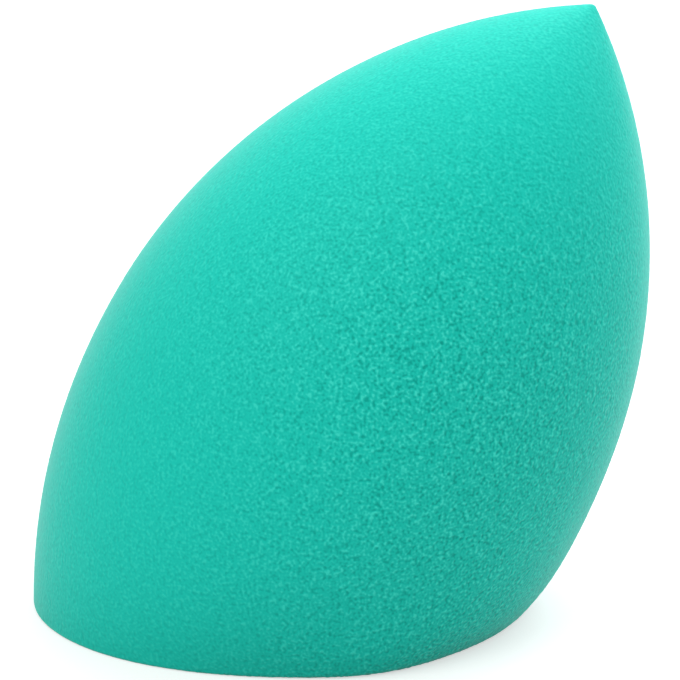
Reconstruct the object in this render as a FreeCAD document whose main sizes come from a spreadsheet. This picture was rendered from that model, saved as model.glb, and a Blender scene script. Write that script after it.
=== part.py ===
"""Slant-cut makeup sponge, in millimetres: an olive of moulded foam, its lower end sliced off on the slant.

Each side of the olive is an arc above the belly and a flatter arc below it, turned about the sponge's axis.
The mould leaves a thin dense skin on the foam, and the cut lays bare the open-celled core inside that skin.
The sponge stands on the cut face, so that face lies in the plane Z = 0 and the axis leans towards +X.
The origin is the point where the axis meets the cut face.
"""

import FreeCAD, Part
import Sketcher
import math
import os

# Each driving size: its name, its value (the angle in degrees) and what it measures.
SIZES = (
    ("belly_diameter", 43.8, "widest section, square to the axis"),
    ("nose_length", 41.5, "belly to the point where the sides would meet, along the axis"),
    ("tip_radius", 0.5, "rounding of the point"),
    ("tail_arc_radius", 54.0, "arc of the sides below the belly"),
    ("cut_distance", 18.5, "belly to the cut face, along the axis"),
    ("cut_angle", 30.1, "slope of the cut face against a section square to the axis"),
    ("skin_thickness", 0.5, "dense skin that the mould leaves on the foam"),
)

# Formulas on the sheet. The nose arc leaves the belly upright and reaches the axis at the nose's length.
BELLY_RADIUS = "sizes.belly_diameter / 2"
NOSE_ARC = "sizes.nose_length ^ 2 / sizes.belly_diameter + sizes.belly_diameter / 4"
TAIL_ARC = "sizes.tail_arc_radius"
CUT_REACH = "sizes.belly_diameter + sizes.tail_arc_radius"
CUT_SLOPE = "sizes.cut_angle * 1 deg"
OUTSIDE = "0"
UNDER_THE_SKIN = "sizes.skin_thickness"

# How a sketch numbers the points of an arc or line, and its own origin and upright axis.
START, END, CENTRE = 1, 2, 3
ORIGIN, UPRIGHT = -1, -2

doc = FreeCAD.newDocument("makeup_sponge")
sheet = doc.addObject("Spreadsheet::Sheet", "sizes")


def fill_sheet():
    """Writes each driving size to a cell of its own, under its name."""
    for row, (name, value, meaning) in enumerate(SIZES, start=1):
        sheet.set(f"A{row}", meaning)
        sheet.set(f"B{row}", str(value))
        sheet.setAlias(f"B{row}", name)
    doc.recompute()


def size(name):
    return float(sheet.get(name))


def new_sketch(body, name):
    """A sketch on the upright plane through the sponge's axis: its x is X and its y is Z."""
    sketch = body.newObject("Sketcher::SketchObject", name)
    plane = next(item for item in body.Origin.OriginFeatures if item.Role == "XZ_Plane")
    sketch.AttachmentSupport = [(plane, "")]
    sketch.MapMode = "FlatFace"
    return sketch


def relate(sketch, *constraint):
    sketch.addConstraint(Sketcher.Constraint(*constraint))


def drive(sketch, formula, *constraint):
    """Adds a dimension that takes its value from the sheet."""
    index = sketch.addConstraint(Sketcher.Constraint(*constraint))
    sketch.setExpression(f"Constraints[{index}]", formula)


def add_arc(sketch, centre, radius, first, last):
    circle = Part.Circle(FreeCAD.Vector(*centre, 0), FreeCAD.Vector(0, 0, 1), radius)
    return sketch.addGeometry(Part.ArcOfCircle(circle, first, last))


def add_side(sketch, inset_formula, inset):
    """Draws one side of the olive, drawn in by an inset, and returns its tip arc and its tail arc."""
    belly_radius = size("belly_diameter") / 2
    belly_height = size("cut_distance")
    nose_radius = size("nose_length") ** 2 / size("belly_diameter") + size("belly_diameter") / 4
    tail_radius = size("tail_arc_radius")
    tip_radius = size("tip_radius")
    tip_rise = math.sqrt((nose_radius - inset - tip_radius) ** 2 - (nose_radius - belly_radius) ** 2)
    tip_turn = math.atan2(tip_rise, nose_radius - belly_radius)
    tail_turn = math.acos((tail_radius - belly_radius) / (tail_radius - inset))

    nose = add_arc(sketch, (belly_radius - nose_radius, belly_height), nose_radius - inset, 0, tip_turn)
    tail = add_arc(sketch, (belly_radius - tail_radius, belly_height), tail_radius - inset, -tail_turn, 0)
    tip = add_arc(sketch, (0, belly_height + tip_rise), tip_radius, tip_turn, math.pi / 2)

    relate(sketch, "Coincident", tail, END, nose, START)
    relate(sketch, "Tangent", nose, END, tip, START)
    relate(sketch, "PointOnObject", tip, CENTRE, UPRIGHT)
    relate(sketch, "PointOnObject", tip, END, UPRIGHT)
    relate(sketch, "PointOnObject", tail, START, UPRIGHT)
    relate(sketch, "Horizontal", nose, CENTRE, nose, START)
    relate(sketch, "Horizontal", tail, CENTRE, nose, START)
    belly = (ORIGIN, START, nose, START)
    drive(sketch, f"{BELLY_RADIUS} - {inset_formula}", "DistanceX", *belly, belly_radius - inset)
    drive(sketch, "sizes.cut_distance", "DistanceY", *belly, belly_height)
    drive(sketch, f"{NOSE_ARC} - {inset_formula}", "Radius", nose, nose_radius - inset)
    drive(sketch, f"{TAIL_ARC} - {inset_formula}", "Radius", tail, tail_radius - inset)
    drive(sketch, "sizes.tip_radius", "Radius", tip, tip_radius)
    return tip, tail


def close_on_axis(sketch, first, first_point, last, last_point):
    """Joins the ends of two arcs by a line along the sponge's axis."""
    ends = sketch.getPoint(first, first_point), sketch.getPoint(last, last_point)
    line = sketch.addGeometry(Part.LineSegment(*ends))
    relate(sketch, "Coincident", line, START, first, first_point)
    relate(sketch, "Coincident", line, END, last, last_point)


def turn(body, sketch, name):
    """Turns a profile about the sponge's axis."""
    doc.recompute()
    revolution = body.newObject("PartDesign::Revolution", name)
    revolution.Profile = sketch
    revolution.ReferenceAxis = (sketch, ["V_Axis"])
    revolution.Angle = 360
    doc.recompute()


def slice_on_slant(body, name):
    """Cuts the body along the slanted plane through its origin, and takes away the end below it."""
    whole = body.Shape.Volume
    slope = math.radians(size("cut_angle"))
    reach = size("belly_diameter") + size("tail_arc_radius")
    along = FreeCAD.Vector(math.cos(slope), math.sin(slope), 0) * reach
    below = FreeCAD.Vector(math.sin(slope), -math.cos(slope), 0) * reach
    corners = (-along, along, below + along, below - along)

    sketch = new_sketch(body, f"{name}_outline")
    edges = [
        sketch.addGeometry(Part.LineSegment(corner, following))
        for corner, following in zip(corners, corners[1:] + corners[:1])
    ]
    for edge, following in zip(edges, edges[1:] + edges[:1]):
        relate(sketch, "Coincident", edge, END, following, START)
    face, right, floor, left = edges
    relate(sketch, "Symmetric", face, START, face, END, ORIGIN, START)
    relate(sketch, "Perpendicular", face, right)
    relate(sketch, "Perpendicular", face, left)
    relate(sketch, "Parallel", face, floor)
    drive(sketch, CUT_SLOPE, "Angle", face, slope)
    drive(sketch, f"2 * ({CUT_REACH})", "Distance", face, 2 * reach)
    drive(sketch, CUT_REACH, "Distance", right, reach)
    doc.recompute()

    pocket = body.newObject("PartDesign::Pocket", name)
    pocket.Profile = sketch
    pocket.Type = "ThroughAll"
    pocket.Midplane = True
    doc.recompute()
    if not 0 < body.Shape.Volume < whole:
        raise RuntimeError(f"{name} took nothing off {body.Label}")


def stand_on_cut(body):
    """Leans the body over until its cut face is level."""
    lean = FreeCAD.Rotation(FreeCAD.Vector(0, 1, 0), size("cut_angle"))
    body.Placement = FreeCAD.Placement(FreeCAD.Vector(), lean)
    body.setExpression("Placement.Rotation.Angle", CUT_SLOPE)
    doc.recompute()


def make_foam_core():
    """The open-celled foam inside the skin, bare at the cut face."""
    body = doc.addObject("PartDesign::Body", "foam_core")
    sketch = new_sketch(body, "core_profile")
    tip, tail = add_side(sketch, UNDER_THE_SKIN, size("skin_thickness"))
    close_on_axis(sketch, tip, END, tail, START)
    turn(body, sketch, "core_olive")
    slice_on_slant(body, "core_cut")
    stand_on_cut(body)
    return body


def make_moulded_skin():
    """The dense skin round the core, ending in a thin rim at the cut face."""
    body = doc.addObject("PartDesign::Body", "moulded_skin")
    sketch = new_sketch(body, "skin_profile")
    outer_tip, outer_tail = add_side(sketch, OUTSIDE, 0)
    inner_tip, inner_tail = add_side(sketch, UNDER_THE_SKIN, size("skin_thickness"))
    close_on_axis(sketch, outer_tip, END, inner_tip, END)
    close_on_axis(sketch, outer_tail, START, inner_tail, START)
    turn(body, sketch, "skin_olive")
    slice_on_slant(body, "skin_cut")
    stand_on_cut(body)
    return body


def check(bodies):
    """Stops on a failed object, or on a piece that isn't one sound solid."""
    for item in doc.Objects:
        if {"Invalid", "Error"} & set(item.State):
            raise RuntimeError(f"{item.Label} failed: {item.State}")
    for body in bodies:
        shape = body.Shape
        if shape.isNull() or not shape.isValid() or len(shape.Solids) != 1:
            raise RuntimeError(f"{body.Label} isn't one valid solid")


def main():
    fill_sheet()
    bodies = [make_foam_core(), make_moulded_skin()]
    check(bodies)
    os.makedirs("parts", exist_ok=True)
    for body in bodies:
        body.Shape.exportStep(f"parts/{body.Label}.step")
        print(f"{body.Label}: {body.Shape.Volume:.1f} mm3")


main()
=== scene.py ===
"""The slant-cut makeup sponge as soft pored foam on a white floor, in metres, in the CAD model's frame."""

import math

import bpy
import numpy as np
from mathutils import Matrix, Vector


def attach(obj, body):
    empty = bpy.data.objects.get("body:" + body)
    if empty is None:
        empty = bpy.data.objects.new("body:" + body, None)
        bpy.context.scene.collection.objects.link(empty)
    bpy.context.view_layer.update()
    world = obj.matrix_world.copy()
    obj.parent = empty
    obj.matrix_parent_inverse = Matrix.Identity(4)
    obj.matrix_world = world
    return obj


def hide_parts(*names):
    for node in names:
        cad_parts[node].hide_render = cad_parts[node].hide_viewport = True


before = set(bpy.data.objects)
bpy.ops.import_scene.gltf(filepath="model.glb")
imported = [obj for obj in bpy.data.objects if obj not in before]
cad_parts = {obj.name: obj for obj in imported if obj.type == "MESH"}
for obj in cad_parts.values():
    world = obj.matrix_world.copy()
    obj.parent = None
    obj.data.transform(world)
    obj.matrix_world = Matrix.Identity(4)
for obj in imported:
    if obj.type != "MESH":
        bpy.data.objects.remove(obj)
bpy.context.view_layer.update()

MM = 0.001

# The moulding's sizes, as in the CAD model
BELLY_RADIUS = 21.9 * MM
NOSE_LENGTH = 41.5 * MM
TIP_RADIUS = 0.5 * MM
TAIL_ARC = 54.0 * MM
CUT_DISTANCE = 18.5 * MM
CUT_ANGLE = math.radians(30.1)

# The cut's edge, which is crisp under the raised side and rolls under more softly below the leaning tip
CRISP_RIM = 0.25 * MM
SOFT_RIM = 1.8 * MM
RIM_POWER = 3

# The soft foam bulges a little just above the cut on the side that the tip leans to
BULGE = 0.28 * MM
BULGE_HEIGHT = 4 * MM
BULGE_POWER = 2

# The foam's weight spreads its foot a little to both sides, most on the flanks below the tip
SPREAD_SHARE = 0.058
SPREAD_TURN = math.radians(57.5)
SPREAD_WIDTH = math.radians(17.4)
SPREAD_HEIGHT = 5 * MM

# The mesh: how far apart its points are, how close they may get in a ring, and how many a ring has
SPACING = 0.13 * MM
CLOSEST_SHARE = math.sqrt(0.5)
COLUMNS = 1024
FEWEST_COLUMNS = 8

# The rows that go round the rim, and the halvings of the search for where it begins
RIM_ROWS = 9
RIM_HALVINGS = 60

# The fine pores of the skin and the slow unevenness of a soft moulding, both made of crossed waves
PORE_LENGTHS = 0.36 * MM, 0.6 * MM
PORE_DEPTH = 0.016 * MM
# How strongly the pores' depth turns the colour to painted shade in the pores and a painted glint on the
# crests
PORE_SHADE_SHARE = 0.105
SWELL_LENGTHS = 12 * MM, 30 * MM
SWELL_DEPTH = 0.012 * MM
WAVES = 240

# The open cells of the cut face, which start inside a narrow ring of skin and repeat after LATTICE pitches
CELL_PITCH = 0.7 * MM
CELL_REACH_SHARE = 0.8
CELL_DEPTH = 0.3 * MM
SKIN_RING = 1.2 * MM
LATTICE = 96

# The seed of every random draw
SEED = 7

# The grain is plainest at the middle of each flank, reaches further down than up, and fades to faint
FLANK_MIDDLE = np.array([18 * MM, 18 * MM, 24 * MM])
GRAIN_REACH = 28 * MM
GRAIN_DROP_SHARE = 0.4
FAINT_GRAIN_SHARE = 0.28

# The foam's colour with painted light, running from a painted shade in the pores and open cells, through the
# even colour between, to a paler and whiter painted glint on the crests; the grain's random tone runs along
# the same scale
SKIN_SHADE_AND_GLINT_COLOURS = (0, 0.42, 0.335, 1), (0.008, 0.64, 0.516, 1), (0.055, 0.85, 0.69, 1)
CUT_SHADE_AND_GLINT_COLOURS = (0, 0.3, 0.24, 1), (0.003, 0.56, 0.45, 1), (0.05, 0.84, 0.68, 1)
EVEN_LEVEL = 0.5
NOISE_MIDDLE = 0.5

# The floor, a hair below the sponge: its pale grey in light, and the white that is added where it is seen
FLOOR_HALF = 1.5
FLOOR_DROP = 0.02 * MM
FLOOR_GREY = 0.55
FLOOR_GLOW = 0.6

# Soft square lamps round the sponge, and an even dome that is white where it is seen
LAMP_DISTANCE = 0.8
LAMP_SIDE = 0.6
LAMPS = (
    # name, azimuth, elevation, watts, colour
    ("top_box", 164, 60, 3.05, (0.98, 1, 1.03)),
    ("back_box", 130, 45, 3.7, (0.98, 1, 1.03)),
    ("front_box", 315, 50, 2.45, (1, 1, 0.97)),
)
DOME_STRENGTH = 0.5
SEEN_STRENGTH = 1
WHITE = 1, 1, 1, 1

# The camera at the photograph's viewing angle, for a square picture
EYE_DISTANCE = 400 * MM
EYE_ELEVATION = math.radians(16.785)
EYE_AIM = Vector((9.157 * MM, 0, 23.033 * MM))
NEAREST_SEEN = 40 * MM
PICTURE_SIDE = 680
FOCAL_PIXELS = 4763.2
SENSOR_WIDTH = 36

# Directions in the CAD model's frame: the sponge's own axis, the two ways across it, and straight down
AXIS = np.array([math.sin(CUT_ANGLE), 0, math.cos(CUT_ANGLE)])
LEAN_SIDE = np.array([math.cos(CUT_ANGLE), 0, -math.sin(CUT_ANGLE)])
ACROSS = np.array([0, 1.0, 0])
DOWN = np.array([0, 0, -1.0])

# The outline's arcs: the nose arc would meet the axis at the nose's length, and a small arc rounds the tip
NOSE_ARC = NOSE_LENGTH**2 / (2 * BELLY_RADIUS) + BELLY_RADIUS / 2
TIP_RISE = math.sqrt((NOSE_ARC - TIP_RADIUS) ** 2 - (NOSE_ARC - BELLY_RADIUS) ** 2)
TIP_TURN = math.atan2(TIP_RISE, NOSE_ARC - BELLY_RADIUS)
TIP_SPAN = TIP_RADIUS * (math.pi / 2 - TIP_TURN)
NOSE_SPAN = NOSE_ARC * TIP_TURN
TAIL_SPAN = TAIL_ARC * math.acos((TAIL_ARC - BELLY_RADIUS) / TAIL_ARC)


def outline(along):
    """Radius, height over the cut's centre and outward way, at a distance from the tip along the side."""
    on_tip = along < TIP_SPAN
    on_nose = along < TIP_SPAN + NOSE_SPAN
    tip_turn = math.pi / 2 - along / TIP_RADIUS
    nose_turn = TIP_TURN - (along - TIP_SPAN) / NOSE_ARC
    tail_turn = -(along - TIP_SPAN - NOSE_SPAN) / TAIL_ARC
    turn = np.where(on_tip, tip_turn, np.where(on_nose, nose_turn, tail_turn))
    arc = np.where(on_tip, TIP_RADIUS, np.where(on_nose, NOSE_ARC, TAIL_ARC))
    middle = np.where(on_tip, 0, BELLY_RADIUS - arc)
    rise = np.where(on_tip, TIP_RISE, 0)
    radius = middle + arc * np.cos(turn)
    height = CUT_DISTANCE + rise + arc * np.sin(turn)
    return radius, height, np.cos(turn), np.sin(turn)


def wall(along, outwards):
    """Points of the moulded side and their normals."""
    radius, height, out_share, axis_share = outline(along)
    points = height[..., None] * AXIS + radius[..., None] * outwards
    normals = axis_share[..., None] * AXIS + out_share[..., None] * outwards
    return points, normals


def rim_start(outwards, rim):
    """How far down each side the rim's rounding begins, so that it ends level with the floor."""
    low = np.full(len(rim), TIP_SPAN)
    high = np.full(len(rim), TIP_SPAN + NOSE_SPAN + TAIL_SPAN)
    for _ in range(RIM_HALVINGS):
        middle = (low + high) / 2
        points, normals = wall(middle, outwards)
        above = points[:, 2] - rim * (normals[:, 2] + 1) > 0
        low = np.where(above, middle, low)
        high = np.where(above, high, middle)
    return low


def round_rim(start, normals, rim):
    """Rows of points that roll from the side to the cut face, and their normals."""
    turn = np.arccos(np.clip(normals @ DOWN, -1, 1))
    centre = start - rim[:, None] * normals
    shares = np.arange(1, RIM_ROWS + 1) / RIM_ROWS
    angle = shares[:, None] * turn
    ways = np.sin(turn - angle)[..., None] * normals + np.sin(angle)[..., None] * DOWN
    ways /= np.sin(turn)[:, None]
    return centre + rim[:, None] * ways, ways


def bulge_out(points, normals, lean_share):
    """The side's points, pushed out a little just above the cut where the tip leans over it."""
    rise = points[..., 2] / BULGE_HEIGHT
    bulge = BULGE * (lean_share * rise * np.exp(1 - rise)) ** BULGE_POWER
    return points + bulge[..., None] * normals


def spread_foot(points, turn):
    """All points, moved apart near the floor on the two flanks below the tip."""
    flank_turn = math.pi - np.abs(turn - math.pi)
    flank_share = np.exp(-(((flank_turn - SPREAD_TURN) / SPREAD_WIDTH) ** 2))
    low_share = np.exp(-((points[..., 2] / SPREAD_HEIGHT) ** 2))
    spread = points.copy()
    spread[..., 1] *= 1 + SPREAD_SHARE * flank_share * low_share
    return spread


def skin_rows():
    """The whole surface as rows of points from the tip to the middle of the cut face, with normals."""
    turn = np.arange(COLUMNS) * (2 * math.pi / COLUMNS)
    outwards = np.cos(turn)[:, None] * LEAN_SIDE + np.sin(turn)[:, None] * ACROSS
    lean_share = (1 + np.cos(turn)) / 2
    rim = CRISP_RIM + (SOFT_RIM - CRISP_RIM) * lean_share**RIM_POWER
    start = rim_start(outwards, rim)

    wall_count = round(float(start.mean()) / SPACING)
    shares = np.arange(wall_count + 1) / wall_count
    wall_points, wall_normals = wall(shares[:, None] * start, outwards)
    rim_points, rim_normals = round_rim(wall_points[-1], wall_normals[-1], rim)
    wall_points = bulge_out(wall_points, wall_normals, lean_share)

    edge = rim_points[-1]
    middle = (edge.min(axis=0) + edge.max(axis=0)) / 2
    base_count = round(float(np.linalg.norm(edge - middle, axis=1).mean()) / SPACING)
    inwards = np.arange(1, base_count + 1) / base_count
    base_points = edge + inwards[:, None, None] * (middle - edge)
    base_normals = np.broadcast_to(DOWN, base_points.shape)

    points = spread_foot(np.concatenate([wall_points, rim_points, base_points]), turn)
    normals = np.concatenate([wall_normals, rim_normals, base_normals])
    first_cut_row = wall_count + RIM_ROWS
    inside = np.linalg.norm(points - points[first_cut_row], axis=2).mean(axis=1)
    inside[: first_cut_row + 1] = 0
    cut_share = np.clip(inside / SKIN_RING, 0, 1)
    return points, normals, cut_share, first_cut_row


def ring_counts(points):
    """How many points each row keeps: halved towards the tip and the base's middle, one at both ends."""
    around = np.linalg.norm(points - np.roll(points, 1, axis=1), axis=2).sum(axis=1)
    counts = []
    for length in around:
        count = COLUMNS
        while count > FEWEST_COLUMNS and length / count < SPACING * CLOSEST_SHARE:
            count //= 2
        counts.append(count)
    counts[0] = counts[-1] = 1
    return counts


def stitch(upper, lower):
    """Triangles between two rings, where one has a single point, or as many as the other, or half as many."""
    if len(upper) == 1:
        return np.stack([np.repeat(upper, len(lower)), lower, np.roll(lower, -1)], axis=1)
    if len(upper) > len(lower):
        return stitch(lower, upper)[:, ::-1]
    if len(upper) == len(lower):
        first = np.stack([upper, lower, np.roll(lower, -1)], axis=1)
        second = np.stack([upper, np.roll(lower, -1), np.roll(upper, -1)], axis=1)
        return np.concatenate([first, second])
    even, odd = lower[0::2], lower[1::2]
    first = np.stack([upper, even, odd], axis=1)
    second = np.stack([upper, odd, np.roll(upper, -1)], axis=1)
    third = np.stack([np.roll(upper, -1), odd, np.roll(even, -1)], axis=1)
    return np.concatenate([first, second, third])


def smooth_step(share):
    """Eases a share from 0 to 1, level at both ends."""
    return share * share * (3 - 2 * share)


def nearest_bubble(points, pitch, seed):
    """Distance from each point to the nearest of scattered bubble centres, as a share of their pitch."""
    jitter = np.random.default_rng(seed).random((LATTICE, LATTICE, LATTICE, 3))
    place = points / pitch
    cell = np.floor(place).astype(int)
    nearest = np.full(len(points), np.inf)
    for step in np.ndindex(3, 3, 3):
        near = cell + np.array(step) - 1
        i, j, k = (near % LATTICE).T
        apart = near + jitter[i, j, k] - place
        nearest = np.minimum(nearest, (apart**2).sum(axis=1))
    return np.sqrt(nearest)


def crossed_waves(points, lengths, seed):
    """The sum of many waves in all directions, between two lengths: its mean is 0 and its spread is 1."""
    random = np.random.default_rng(seed)
    ways = random.normal(size=(WAVES, 3))
    ways /= np.linalg.norm(ways, axis=1)[:, None]
    turns = 2 * math.pi / random.uniform(*lengths, WAVES)
    phases = random.uniform(0, 2 * math.pi, WAVES)
    total = np.zeros(len(points))
    for way, turn, phase in zip(ways, turns, phases):
        total += np.cos(points @ (way * turn) + phase)
    return total * math.sqrt(2 / WAVES)


def open_cells(points):
    """1 at the middle of each cell of the bare foam, falling smoothly to 0 at its reach."""
    distance = nearest_bubble(points, CELL_PITCH, SEED + 2)
    return smooth_step(np.clip(1 - distance / CELL_REACH_SHARE, 0, 1))


def relief(points, cut_share, strength):
    """How far each point lies under the smooth moulding, and its painted shade from 0 to 1: higher where it
    lies further into the pores and cells, which darkens its colour, and lower on the crests, which pales it
    to a painted glint.
    """
    pores = crossed_waves(points, PORE_LENGTHS, SEED)
    swell = crossed_waves(points, SWELL_LENGTHS, SEED + 1)
    cells = open_cells(points)
    skin_depth = strength * PORE_DEPTH * pores + SWELL_DEPTH * swell
    cut_depth = CELL_DEPTH * cells + PORE_DEPTH * pores
    depth = skin_depth * (1 - cut_share) + cut_depth * cut_share
    # Painted shade and glint: the colour darkens where a point lies further into the pores or towards an open
    # cell's middle, and pales where it rises
    skin_pore_shade = np.clip(EVEN_LEVEL + PORE_SHADE_SHARE * pores, 0, 1)
    cut_pore_shade = np.clip(cells + PORE_SHADE_SHARE * pores, 0, 1)
    return depth, skin_pore_shade * (1 - cut_share) + cut_pore_shade * cut_share


def grain_strength(points):
    """How plain the grain is: 1 at the middle of each flank, and faint at the tip and the narrow edges."""
    to_flank = np.stack([points[:, 0], np.abs(points[:, 1]), points[:, 2]], axis=1) - FLANK_MIDDLE
    to_flank[:, 2] *= np.where(to_flank[:, 2] < 0, GRAIN_DROP_SHARE, 1)
    away = np.clip(np.linalg.norm(to_flank, axis=1) / GRAIN_REACH, 0, 1)
    return 1 - (1 - FAINT_GRAIN_SHARE) * smooth_step(away)


def new_mesh(name, points, triangles):
    """A smoothly shaded mesh of triangles."""
    mesh = bpy.data.meshes.new(name)
    mesh.vertices.add(len(points))
    mesh.vertices.foreach_set("co", points.astype(np.float32).ravel())
    mesh.loops.add(triangles.size)
    mesh.loops.foreach_set("vertex_index", triangles.astype(np.int32).ravel())
    mesh.polygons.add(len(triangles))
    mesh.polygons.foreach_set("loop_start", np.arange(0, triangles.size, 3, dtype=np.int32))
    mesh.polygons.foreach_set("use_smooth", np.ones(len(triangles), dtype=bool))
    return mesh


def add_point_values(mesh, name, values):
    """Keeps one number for each point of a mesh, for its materials."""
    attribute = mesh.attributes.new(name, "FLOAT", "POINT")
    attribute.data.foreach_set("value", values.astype(np.float32))


def add_bake_map(mesh, triangles, counts, last_side_row):
    """Unrolls the side into a strip and lays the cut face beside it as a disc."""
    strip_floor_share = 0.36
    disc_radius_share = 0.17
    disc_middle_share = 0.1751
    half_turn_share = 0.5
    rows = np.repeat(np.arange(len(counts)), counts)
    turn_share = np.concatenate([np.arange(n) / n for n in counts])

    turns = turn_share[triangles]
    wraps = (turns.max(axis=1) - turns.min(axis=1)) > half_turn_share
    turns = np.where(wraps[:, None] & (turns < half_turn_share), turns + 1, turns)
    corner_rows = rows[triangles]
    single = np.array(counts)[corner_rows] == 1
    others = np.where(single, 0, turns).sum(axis=1) / np.maximum((~single).sum(axis=1), 1)
    turns = np.where(single, others[:, None], turns)

    side_v = 1 - (1 - strip_floor_share) * corner_rows / last_side_row
    inward = (corner_rows - last_side_row) / (len(counts) - 1 - last_side_row)
    reach = disc_radius_share * (1 - inward)
    disc_u = disc_middle_share + reach * np.cos(2 * math.pi * turns)
    disc_v = disc_middle_share + reach * np.sin(2 * math.pi * turns)
    on_disc = corner_rows.min(axis=1)[:, None] >= last_side_row
    places = np.stack([np.where(on_disc, disc_u, turns), np.where(on_disc, disc_v, side_v)], axis=2)
    layer = mesh.uv_layers.new(name="OFBake")
    layer.uv.foreach_set("vector", places.astype(np.float32).ravel())


def make_sponge():
    """The whole foam body as one closed mesh, with its pores in the surface."""
    rows, row_normals, row_cut, first_cut_row = skin_rows()
    counts = ring_counts(rows)
    points = np.concatenate([rows[i, :: COLUMNS // n] for i, n in enumerate(counts)])
    normals = np.concatenate([row_normals[i, :: COLUMNS // n] for i, n in enumerate(counts)])
    cut_share = np.repeat(row_cut, counts)

    strength = np.maximum(grain_strength(points), cut_share)
    depth, pore_shade = relief(points, cut_share, strength)
    points = points - normals * depth[:, None]
    points[:, 2] = np.maximum(points[:, 2], 0)

    ends = np.cumsum(counts)
    rings = [np.arange(end - count, end) for end, count in zip(ends, counts)]
    triangles = np.concatenate([stitch(upper, lower) for upper, lower in zip(rings, rings[1:])])
    row_of_point = np.repeat(np.arange(len(counts)), counts)
    on_cut = row_of_point[triangles].min(axis=1) >= first_cut_row

    mesh = new_mesh("sponge_foam", points, triangles)
    mesh.materials.append(skin_material())
    mesh.materials.append(cut_material())
    mesh.polygons.foreach_set("material_index", on_cut.astype(np.int32))
    # The painted shade and glint of the pores and cells, kept for the materials
    add_point_values(mesh, "pore_shade", pore_shade)
    add_point_values(mesh, "grain", strength)
    add_bake_map(mesh, triangles, counts, first_cut_row)
    mesh.update(calc_edges=True)
    sponge = bpy.data.objects.new("sponge_foam", mesh)
    bpy.context.collection.objects.link(sponge)
    return sponge


def new_material(name):
    """A new material, its node tree and its main shader."""
    material = bpy.data.materials.new(name)
    material.use_nodes = True
    tree = material.node_tree
    return material, tree, tree.nodes["Principled BSDF"]


def add_node(tree, kind, **values):
    """A new node with some of its settings."""
    node = tree.nodes.new(kind)
    for name, value in values.items():
        setattr(node, name, value)
    return node


def foam_surface(tree, shader, shade_and_glint_colours, grain_pitch, grain_tint, bump_distance):
    """Colour that darkens into the pores as painted shade and pales on the crests as a painted glint, and a
    grain that is finer than the mesh, as colour and bump.
    """
    place = add_node(tree, "ShaderNodeTexCoord")
    grain = add_node(tree, "ShaderNodeTexNoise")
    grain.inputs["Scale"].default_value = 1 / grain_pitch
    grain.inputs["Detail"].default_value = 0
    tree.links.new(place.outputs["Object"], grain.inputs["Vector"])
    pore_shade = add_node(tree, "ShaderNodeAttribute", attribute_name="pore_shade")
    strength = add_node(tree, "ShaderNodeAttribute", attribute_name="grain")

    tint = add_node(tree, "ShaderNodeMath", operation="MULTIPLY_ADD")
    tint.inputs[1].default_value = grain_tint
    tint.inputs[2].default_value = 2 * EVEN_LEVEL - grain_tint * NOISE_MIDDLE
    tree.links.new(grain.outputs["Fac"], tint.inputs[0])
    level = add_node(tree, "ShaderNodeMath", operation="SUBTRACT")
    tree.links.new(tint.outputs[0], level.inputs[0])
    tree.links.new(pore_shade.outputs["Fac"], level.inputs[1])
    # Painted light: the colour runs from painted shade in the pores, through the foam's even colour, to a
    # whiter painted glint on the crests, and the grain's random tone moves along the same scale
    deep_shade, even, crest_glint = shade_and_glint_colours
    tone_and_shade_ramp = add_node(tree, "ShaderNodeValToRGB")
    tone_and_shade_ramp.color_ramp.interpolation = "EASE"
    tone_and_shade_ramp.color_ramp.elements[0].color = deep_shade
    tone_and_shade_ramp.color_ramp.elements[1].color = crest_glint
    tone_and_shade_ramp.color_ramp.elements.new(EVEN_LEVEL).color = even
    tree.links.new(level.outputs[0], tone_and_shade_ramp.inputs["Fac"])
    fade = add_node(tree, "ShaderNodeMixRGB")
    fade.inputs["Color1"].default_value = even
    tree.links.new(strength.outputs["Fac"], fade.inputs["Fac"])
    tree.links.new(tone_and_shade_ramp.outputs["Color"], fade.inputs["Color2"])
    tree.links.new(fade.outputs["Color"], shader.inputs["Base Color"])

    bump = add_node(tree, "ShaderNodeBump")
    bump.inputs["Distance"].default_value = bump_distance
    tree.links.new(strength.outputs["Fac"], bump.inputs["Strength"])
    tree.links.new(grain.outputs["Fac"], bump.inputs["Height"])
    tree.links.new(bump.outputs["Normal"], shader.inputs["Normal"])


def skin_material():
    """The moulded side: matt teal foam with a pale bloom where it turns away."""
    material, tree, shader = new_material("skin_foam")
    foam_surface(tree, shader, SKIN_SHADE_AND_GLINT_COLOURS, grain_pitch=0.24 * MM, grain_tint=1.34, bump_distance=0.09 * MM)
    shader.inputs["Roughness"].default_value = 0.5
    shader.inputs["Specular IOR Level"].default_value = 0.09
    shader.inputs["Sheen Weight"].default_value = 0.08
    shader.inputs["Sheen Roughness"].default_value = 0.5
    return material


def cut_material():
    """The bare cut face: open cells, a little deeper in colour."""
    material, tree, shader = new_material("cut_foam")
    foam_surface(tree, shader, CUT_SHADE_AND_GLINT_COLOURS, grain_pitch=0.3 * MM, grain_tint=0.8, bump_distance=0.08 * MM)
    shader.inputs["Roughness"].default_value = 0.7
    shader.inputs["Specular IOR Level"].default_value = 0.15
    shader.inputs["Sheen Weight"].default_value = 0.16
    shader.inputs["Sheen Roughness"].default_value = 0.5
    return material


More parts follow.
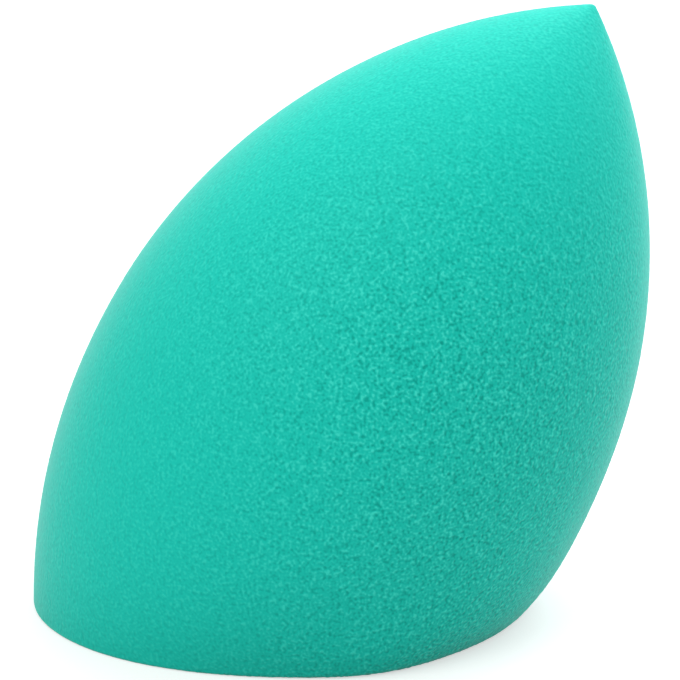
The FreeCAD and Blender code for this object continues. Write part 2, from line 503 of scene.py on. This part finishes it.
def seen_directly(tree):
    """1 where the camera looks, straight or by gloss or glass, and 0 for the light on the sponge."""
    path = add_node(tree, "ShaderNodeLightPath")
    gloss = add_node(tree, "ShaderNodeMath", operation="MAXIMUM")
    tree.links.new(path.outputs["Is Camera Ray"], gloss.inputs[0])
    tree.links.new(path.outputs["Is Glossy Ray"], gloss.inputs[1])
    glass = add_node(tree, "ShaderNodeMath", operation="MAXIMUM")
    tree.links.new(gloss.outputs[0], glass.inputs[0])
    tree.links.new(path.outputs["Is Transmission Ray"], glass.inputs[1])
    return glass.outputs[0]


def floor_material():
    """Pale grey in light, with white added where it is seen, so that it still takes the sponge's shadow."""
    material, tree, shader = new_material("floor_white")
    shader.inputs["Base Color"].default_value = (FLOOR_GREY, FLOOR_GREY, FLOOR_GREY, 1)
    shader.inputs["Roughness"].default_value = 1
    shader.inputs["Specular IOR Level"].default_value = 0
    shader.inputs["Emission Color"].default_value = WHITE
    glow = add_node(tree, "ShaderNodeMath", operation="MULTIPLY")
    glow.inputs[1].default_value = FLOOR_GLOW
    tree.links.new(seen_directly(tree), glow.inputs[0])
    tree.links.new(glow.outputs[0], shader.inputs["Emission Strength"])
    return material


def make_floor():
    """A plain white floor."""
    half = FLOOR_HALF
    mesh = bpy.data.meshes.new("floor")
    corners = [(-half, -half, 0), (half, -half, 0), (half, half, 0), (-half, half, 0)]
    mesh.from_pydata(corners, [], [(0, 1, 2, 3)])
    mesh.materials.append(floor_material())
    floor = bpy.data.objects.new("floor", mesh)
    floor.location.z = -FLOOR_DROP
    bpy.context.collection.objects.link(floor)


def direction(azimuth, elevation):
    """The way to a lamp: azimuth 0 is towards the camera and 90 is to its right."""
    a, e = math.radians(azimuth), math.radians(elevation)
    return Vector((math.sin(a) * math.cos(e), -math.cos(a) * math.cos(e), math.sin(e)))


def make_lamps():
    """Large soft boxes that face the sponge."""
    for name, azimuth, elevation, watts, colour in LAMPS:
        lamp = bpy.data.lights.new(name, "AREA")
        lamp.shape = "SQUARE"
        lamp.size = LAMP_SIDE
        lamp.energy = watts
        lamp.color = colour
        light = bpy.data.objects.new(name, lamp)
        way = direction(azimuth, elevation)
        light.location = EYE_AIM + way * LAMP_DISTANCE
        light.rotation_euler = way.to_track_quat("Z", "Y").to_euler()
        bpy.context.collection.objects.link(light)


def make_dome():
    """Even light from all round, white behind everything that the camera sees."""
    world = bpy.data.worlds.new("studio")
    bpy.context.scene.world = world
    world.use_nodes = True
    tree = world.node_tree
    background = tree.nodes["Background"]
    background.inputs["Color"].default_value = WHITE
    level = add_node(tree, "ShaderNodeMix", data_type="FLOAT")
    level.inputs["A"].default_value = DOME_STRENGTH
    level.inputs["B"].default_value = SEEN_STRENGTH
    tree.links.new(seen_directly(tree), level.inputs["Factor"])
    tree.links.new(level.outputs["Result"], background.inputs["Strength"])


def make_camera():
    """The camera, which looks at the sponge's front flank from a little above."""
    lens = bpy.data.cameras.new("camera")
    lens.sensor_fit = "HORIZONTAL"
    lens.sensor_width = SENSOR_WIDTH
    lens.lens = SENSOR_WIDTH * FOCAL_PIXELS / PICTURE_SIDE
    lens.clip_start = NEAREST_SEEN
    camera = bpy.data.objects.new("camera", lens)
    back = Vector((0, -math.cos(EYE_ELEVATION), math.sin(EYE_ELEVATION)))
    camera.location = EYE_AIM + back * EYE_DISTANCE
    camera.rotation_euler = (math.pi / 2 - EYE_ELEVATION, 0, 0)
    bpy.context.collection.objects.link(camera)
    bpy.context.scene.camera = camera


bpy.context.scene.view_settings.view_transform = "Standard"
sponge = make_sponge()
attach(sponge, "root")
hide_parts("foam_core", "moulded_skin")
make_floor()
make_lamps()
make_dome()
make_camera()
